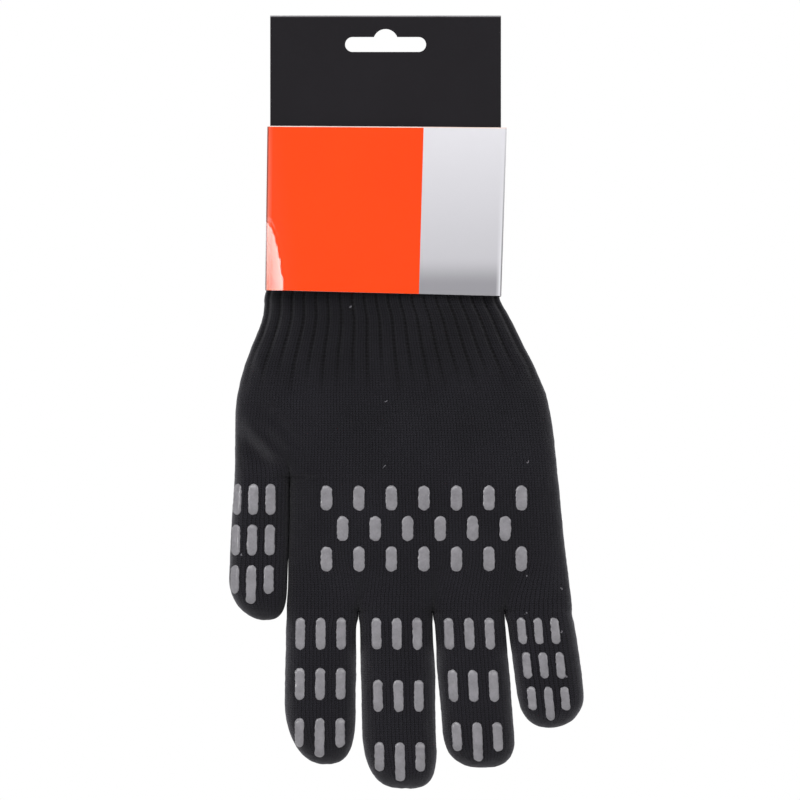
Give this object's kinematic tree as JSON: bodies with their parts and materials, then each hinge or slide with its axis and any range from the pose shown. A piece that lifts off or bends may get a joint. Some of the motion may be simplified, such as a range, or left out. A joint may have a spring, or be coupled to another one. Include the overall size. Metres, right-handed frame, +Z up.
{
  "type": "heat resistant glove",
  "caption": "Knitted five-finger barbecue glove with a ribbed cuff, lining and raised silicone grip bars, held in a paper band with a hanging header card.",
  "frame": {"origin": "middle of the hang slot, on the middle plane of the header card", "axes": "+Z up, so the fingers point down; -Y out of the gripping side; +X towards the little finger"},
  "size_m": [0.1417, 0.0209, 0.3099],
  "materials": {
    "knit": "matte",
    "lining": "matte",
    "thread": "matte",
    "silicone": "satin",
    "card": "matte",
    "band": "gloss"
  },
  "bodies": {
    "sleeve": {"header_card": "card", "belly_band": "band"},
    "hand": {"cuff_rib": "knit", "cuff_lining": "lining", "cuff_hem": "thread", "cuff_elastic": "thread", "palm_heel_shell": "knit", "palm_heel_lining": "lining", "knuckle_shell": "knit", "knuckle_lining": "lining", "palm_grip_bars": "silicone"},
    "thumb": {"thumb_stall": "knit", "thumb_lining": "lining", "thumb_grip_bars": "silicone"},
    "index": {"index_stall": "knit", "index_lining": "lining", "index_grip_bars": "silicone"},
    "middle": {"middle_stall": "knit", "middle_lining": "lining", "middle_grip_bars": "silicone"},
    "ring": {"ring_stall": "knit", "ring_lining": "lining", "ring_grip_bars": "silicone"},
    "little": {"little_stall": "knit", "little_lining": "lining", "little_grip_bars": "silicone"}
  },
  "joints": [
    {"name": "glove_pull", "type": "slide", "parent": "sleeve", "child": "hand", "axis": [0, 0, -1], "range_m": [0, 0.068]},
    {"name": "thumb_curl", "type": "hinge", "parent": "hand", "child": "thumb", "pos_m": [-0.0497, -0.00055, -0.1736], "axis": [-1, 0, 0], "range_deg": [0, 60], "stiffness_Nm_per_rad": 0.01},
    {"name": "index_curl", "type": "hinge", "parent": "hand", "child": "index", "pos_m": [-0.0255, 0.00045, -0.2272], "axis": [-1, 0, 0], "range_deg": [0, 85], "stiffness_Nm_per_rad": 0.01},
    {"name": "middle_curl", "type": "hinge", "parent": "hand", "child": "middle", "pos_m": [0.004, 0.00045, -0.2272], "axis": [-1, 0, 0], "range_deg": [0, 85], "stiffness_Nm_per_rad": 0.01},
    {"name": "ring_curl", "type": "hinge", "parent": "hand", "child": "ring", "pos_m": [0.0334, 0.00045, -0.2272], "axis": [-1, 0, 0], "range_deg": [0, 85], "stiffness_Nm_per_rad": 0.01},
    {"name": "little_curl", "type": "hinge", "parent": "hand", "child": "little", "pos_m": [0.0613, 0.00045, -0.2272], "axis": [-1, 0, 0], "range_deg": [0, 85], "stiffness_Nm_per_rad": 0.01}
  ]
}
